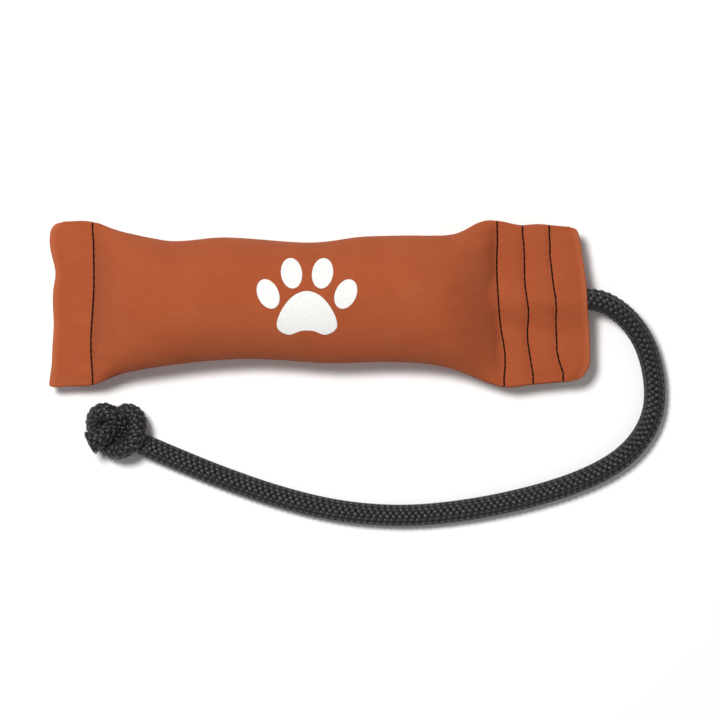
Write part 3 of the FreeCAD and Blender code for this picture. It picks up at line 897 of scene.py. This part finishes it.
# Relief of the cloth at its stitch rows and side seams: height and width in mm.
ROW_GROOVE = (0.8, 1.15)
STITCH_PUCKER = (0.22, 2.6)
GATHERS = (0.36, 8.0)
GATHERS_START = 1.6  # from the row
SEAM_GROOVE = (0.55, 0.75)
SEAM_LIP = (0.55, 0.9)
SEAM_LIP_PLACE = 1.7  # from the seam
PUFF = 0.5  # height between two rows


def bell(offset, height, width):
    return height * np.exp(-((offset / width) ** 2))


def quilt(rings, normals):
    """Presses the cloth in along the stitch rows and the side seams, and puffs it up in between."""
    off_side = 1 - 0.9 * np.abs(round_the_back(SHARES)[None, :]) ** 10
    x, y = rings[:, :, 0] / MM, rings[:, :, 1] / MM
    stitch_wave = np.cos(2 * math.pi * y * MM / STITCH_PITCH)
    rise = np.zeros(x.shape)
    for k in range(1, 5):
        off = x - x[ANCHORS[k]][None, :]
        gather_wave = np.sin(y * 0.62 + k * 2.1 + 0.9 * np.sin(y * 0.17))
        rise -= bell(off, *ROW_GROOVE) * off_side
        rise += bell(off, *STITCH_PUCKER) * stitch_wave * off_side
        rise += bell(off, *GATHERS) * gather_wave * (1 - bell(off, 1.0, GATHERS_START)) * off_side
    for k in (0, 2, 3, 4):
        for i in range(ANCHORS[k] + 1, ANCHORS[k + 1]):
            rise[i] += PUFF * math.sin(math.pi * (i - ANCHORS[k]) / SEGMENTS[k]) * off_side[0]
    width = round_way(rings)
    for seam in (0, ACROSS, AROUND):
        off = (width[:, :AROUND] - width[:, [seam]]) / MM
        rise -= bell(off, *SEAM_GROOVE)
        rise += bell(np.abs(off) - SEAM_LIP_PLACE, *SEAM_LIP)
    rise[[0, -1]] = 0.0
    return rings + normals * (rise * MM)[:, :, None]


FOLD_TURNS = [k * math.pi / 6 for k in range(1, 6)]  # of the cloth's surface round a fold


def panel_piece(name, surface, normals, flat, outwards, level, way, material):
    """A closed sheet of cloth: outer face, folded ends, inner face and its two long edges."""
    steps, wide = surface.shape[:2]
    places = [0, ANCHORS[1], ANCHORS[1] + 4, ANCHORS[2] - 4, ANCHORS[2], steps]
    thick = np.interp(np.arange(steps), places, [HEM, HEM, CANVAS, CANVAS, HEM, HEM])
    normals = normals.copy()
    for i, aim in ((0, outwards[0]), (-1, outwards[1])):
        normals[i] = unit(normals[i] - aim * (normals[i] * aim).sum(axis=1, keepdims=True))
    inner = surface - normals * thick[:, None, None]
    inner[:, :, 2] = way * np.maximum(way * inner[:, :, 2], way * level[:, None] + 0.02 * MM)
    folded = len(FOLD_TURNS)
    rows, marks, wear = [], [], []

    def fold(i, aim):
        middle, half = (surface[i] + inner[i]) / 2, (surface[i] - inner[i]) / 2
        return [
            middle + half * math.cos(turn) + aim * HEM / 2 * math.sin(turn) for turn in FOLD_TURNS
        ]

    for k, line in enumerate(reversed(fold(0, outwards[0]))):
        rows.append(line)
        marks.append(flat[0] - [(folded - k) * HEM / 4, 0, 0])
        wear.append(np.full(wide, 1.0))
    for i in range(steps):
        rows.append(surface[i])
        marks.append(flat[i])
        wear.append(np.full(wide, max(0.0, 1 - min(i, steps - 1 - i) / 2.0)))
    for k, line in enumerate(fold(steps - 1, outwards[1])):
        rows.append(line)
        marks.append(flat[-1] + [(k + 1) * HEM / 4, 0, 0])
        wear.append(np.full(wide, 1.0))
    for i in reversed(range(steps)):
        rows.append(inner[i])
        marks.append(flat[i] + [INNER_CLOTH, 0, 0])
        wear.append(np.zeros(wide))
    count = len(rows)
    faces = []
    for i in range(count):
        after = (i + 1) % count
        for j in range(wide - 1):
            faces.append((i * wide + j, after * wide + j, after * wide + j + 1, i * wide + j + 1))
    outer0, inner0 = folded, folded * 2 + steps  # the first rows of the two faces
    for j, flip in ((0, False), (wide - 1, True)):
        caps = []
        for i in range(steps - 1):
            a, b = outer0 + i, outer0 + i + 1
            c, d = inner0 + steps - 2 - i, inner0 + steps - 1 - i
            caps.append((a, b, c, d))
        caps.append((inner0 + steps - 1, *range(outer0 + 1)))
        caps.append(tuple(range(outer0 + steps - 1, inner0 + 1)))
        for cap in caps:
            cap = tuple(r * wide + j for r in cap)
            faces.append(tuple(reversed(cap)) if flip else cap)
    piece = make_piece(name, np.concatenate(rows), faces, material)
    set_vectors(piece, "cloth", np.concatenate(marks))
    set_values(piece, "wear", np.concatenate(wear))
    return piece


def tree_of(piece):
    graph = bpy.context.evaluated_depsgraph_get()
    return BVHTree.FromObject(piece, graph)


STEEPEST = 1.4  # slope of the cloth at which a stitch row ends
ROW_PROBE = 0.1 * MM  # the step at which that end is looked for
STITCH_RADIUS = 0.40 * MM
STITCH_SIDES = 8
STITCH_RINGS = 9
STITCH_GAP = 0.005  # share of a stitch's length left free at each end
STITCH_LIFT = 0.22 * MM  # of its middle above the cloth
STITCH_DIP = 0.50 * MM  # of its ends below that
STITCH_TAPER = 0.7  # its radius at the two ends


def stitch_row(name, node_name, tree, sign, material):
    """A row of stitches lying in the cloth: each a short bar whose ends dip through it."""
    places, values = row_line(node_name)
    low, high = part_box(node_name)

    def on_cloth(y):
        x = float(np.interp(y, places, values))
        hit = tree.ray_cast(Vector((x, y, FAR * sign)), Vector((0, 0, -sign)))[0]
        return x, y, hit.z if hit else math.nan

    def row_end(way):
        """The last y before the cloth turns down over its side."""
        y, step = (low.y + high.y) / 2, ROW_PROBE * way
        while abs(on_cloth(y + step)[2] - on_cloth(y)[2]) < STEEPEST * abs(step):
            y += step
        return y

    start, end = row_end(-1), row_end(1)
    marks = np.linspace(start, end, round((end - start) / STITCH_PITCH) + 1)
    sizes = np.full(STITCH_RINGS, STITCH_RADIUS)
    sizes[[0, -1]] *= STITCH_TAPER
    points, faces = [], []
    for a, b in zip(marks[:-1], marks[1:]):
        gap = STITCH_GAP * (b - a)
        line = []
        for share in np.linspace(0, 1, STITCH_RINGS):
            x, y, z = on_cloth(a + gap + (b - a - 2 * gap) * share)
            dip = STITCH_DIP * (1 - min(1.0, 9 * min(share, 1 - share)) ** 0.6)
            line.append((x, y, z + sign * (STITCH_LIFT - dip)))
        sides, others = carried_frames(np.array(line))
        faces += tube_faces(STITCH_RINGS, STITCH_SIDES, len(points))
        for place, side, other, size in zip(np.array(line), sides, others, sizes):
            for k in range(STITCH_SIDES):
                turn = 2 * math.pi * k / STITCH_SIDES
                points.append(place + (side * math.cos(turn) + other * math.sin(turn)) * size)
    piece = make_piece(name, points, faces, material)
    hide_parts(node_name)
    return piece


# ---------------------------------------------------------------- the printed paw

# The paw in mm, before it is scaled: the pad's outline, and each toe's place and lean.
PAW_SCALE = 0.92
PAW_PAD = [
    (0, 5.5), (7.5, 2.5), (13.5, -5.5), (15.0, -13.0), (9.5, -16.5), (3.0, -14.6), (-3.0, -14.6),
    (-9.5, -16.5), (-15.0, -13.0), (-13.5, -5.5), (-7.5, 2.5),
]
PAW_TOES = [(-19.5, 4.0, 24), (-7.8, 14.5, 8), (7.8, 14.5, -8), (19.5, 4.0, -24)]
TOE_LONG, TOE_WIDE = 7.8, 5.3  # half the length and half the width
PAW_TOP = 14.5 + TOE_LONG
PAD_POINTS, TOE_POINTS = 132, 84
INK_LIFT = 0.10 * MM  # height of the ink over the cloth, and its depth in it
INK_RIM = 0.55  # of that height, at the ink's edge
INK_SHARES = [1.0, 0.965, 0.9, 0.8, 0.68, 0.56, 0.44, 0.32, 0.2, 0.09]  # rings, edge to middle


def closed_curve(corners, count):
    """A smooth closed line through corners (Catmull-Rom)."""
    corners = np.array(corners, float)
    size = len(corners)
    line = []
    for n in range(count):
        place = n * size / count
        i = int(place)
        t = place - i
        a, b, c, d = (corners[(i + k) % size] for k in (-1, 0, 1, 2))
        bend = (2 * a - 5 * b + 4 * c - d) * t**2 + (3 * b - a - 3 * c + d) * t**3
        line.append(0.5 * (2 * b + (c - a) * t + bend))
    return np.array(line)


def ink_patch(outline, tree):
    """Top, rim and underside of one printed shape laid on the cloth."""
    around = len(outline)
    middle = outline.mean(axis=0)
    points = []

    def lay(x, y, lift):
        place, normal = tree.ray_cast(Vector((x, y, FAR)), Vector((0, 0, -1)))[:2]
        points.append(place + normal * lift)

    for x, y in outline:
        lay(x, y, -INK_LIFT)
    for share in INK_SHARES:
        for x, y in middle + (outline - middle) * share:
            lay(x, y, INK_LIFT * (INK_RIM if share == 1.0 else 1.0))
    top = len(points)
    faces = tube_faces(1 + len(INK_SHARES), around, caps=False)
    lay(*middle, INK_LIFT)
    lay(*middle, -INK_LIFT)
    for k in range(around):
        after = (k + 1) % around
        faces.append((top - around + k, top - around + after, top))
        faces.append((after, k, top + 1))
    return points, faces


def make_paw(tree, material):
    """The whole print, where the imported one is: a pad and four toes."""
    low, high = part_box("paw_print")
    centre = np.array([(low.x + high.x) / 2, high.y - PAW_SCALE * PAW_TOP * MM + 0.1 * MM])
    angles = np.arange(TOE_POINTS) * 2 * math.pi / TOE_POINTS
    oval = np.stack([TOE_LONG * np.cos(angles), TOE_WIDE * np.sin(angles)], axis=1)
    shapes = [closed_curve(PAW_PAD, PAD_POINTS) * PAW_SCALE * MM + centre]
    for x, y, lean in PAW_TOES:
        turn = math.radians(90 + lean)
        spin = np.array([[math.cos(turn), math.sin(turn)], [-math.sin(turn), math.cos(turn)]])
        shapes.append((oval @ spin + (x, y)) * PAW_SCALE * MM + centre)
    points, faces = [], []
    for outline in shapes:
        some_points, some_faces = ink_patch(outline, tree)
        base = len(points)
        points += some_points
        faces += [tuple(base + v for v in face) for face in some_faces]
    piece = make_piece("printed_paw", points, faces, material)
    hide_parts("paw_print")
    return piece


# ---------------------------------------------------------------- the whole object

# Node, material, its darker and paler colour, size of the grain, roughness and bump.
HIDDEN_STUFF = [
    ("stopper_knot", "hidden_rope", (0.014, 0.014, 0.016), (0.05, 0.05, 0.055), 700.0, 0.5, 0.2),
    ("fibre_wadding", "fibre_fill", (0.66, 0.62, 0.54), (0.86, 0.84, 0.78), 260.0, 0.95, 0.8),
    ("foam_core", "closed_cell_foam", (0.58, 0.58, 0.60), (0.72, 0.72, 0.74), 900.0, 0.8, 0.25),
]
ROPE_DARK, ROPE_PALE = (0.0035, 0.0035, 0.0044), (0.021, 0.021, 0.0245)


def dress_hidden_nodes(thread):
    """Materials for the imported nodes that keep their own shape."""

    def dress(node_name, material):
        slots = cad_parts[node_name].data.materials
        slots.clear()
        slots.append(material)

    dress("far_side_seam_thread", thread)
    dress("near_side_seam_thread", thread)
    for node_name, name, low, high, scale, roughness, depth in HIDDEN_STUFF:
        dress(node_name, speckled_material(name, low, high, scale, roughness, depth * MM))


def main():
    set_stage()
    rope_black = rope_material("rope_braid", ROPE_DARK, ROPE_PALE)
    root, neck, rope, rope_line, whole_line = make_rope(rope_black)
    knot, tip = make_knot(rope_line, rope_black, melted_material())

    canvas = canvas_material()
    thread = thread_material()
    rings, outwards, level = canvas_rings()
    rings = keep_outline(swell(rings), rings)
    flats = flat_cut(rings)
    normals = ring_normals(rings)
    cloth = quilt(rings, normals)
    cloth[:, :, 2] = np.maximum(cloth[:, :, 2], 0.0)
    top = list(range(ACROSS + 1))
    under = list(range(ACROSS, AROUND)) + [0]
    back = [outwards[0][::-1], outwards[1][::-1]]
    upper = panel_piece(
        "upper_panel_cloth", cloth[:, top], normals[:, top], flats[0], outwards, level, 1, canvas
    )
    lower = panel_piece(
        "lower_panel_cloth", cloth[:, under], normals[:, under], flats[1], back, level, -1, canvas
    )
    for piece, node_name in ((upper, "upper_panel"), (lower, "lower_panel")):
        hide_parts(node_name)
        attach(piece, "bumper")

    upper_tree = tree_of(upper)
    lower_tree = tree_of(lower)
    for name in ROWS:
        for kind, tree, sign in (("needle", upper_tree, 1), ("bobbin", lower_tree, -1)):
            names = f"{name}_{kind}_stitches", f"{name}_{kind}_thread"
            row = stitch_row(*names, tree, sign, thread)
            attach(row, "bumper")
    paw = make_paw(upper_tree, ink_material())
    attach(paw, "bumper")

    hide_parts("rope_sheath", "rope_core")
    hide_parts("grip_knot", "rope_tail")
    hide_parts("rope_tip_seal")
    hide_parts("rope_root")
    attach(root, "bumper")
    for piece in (rope, knot, tip):
        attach(piece, "throw_rope")
    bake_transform(neck)
    dress_hidden_nodes(thread)


main()
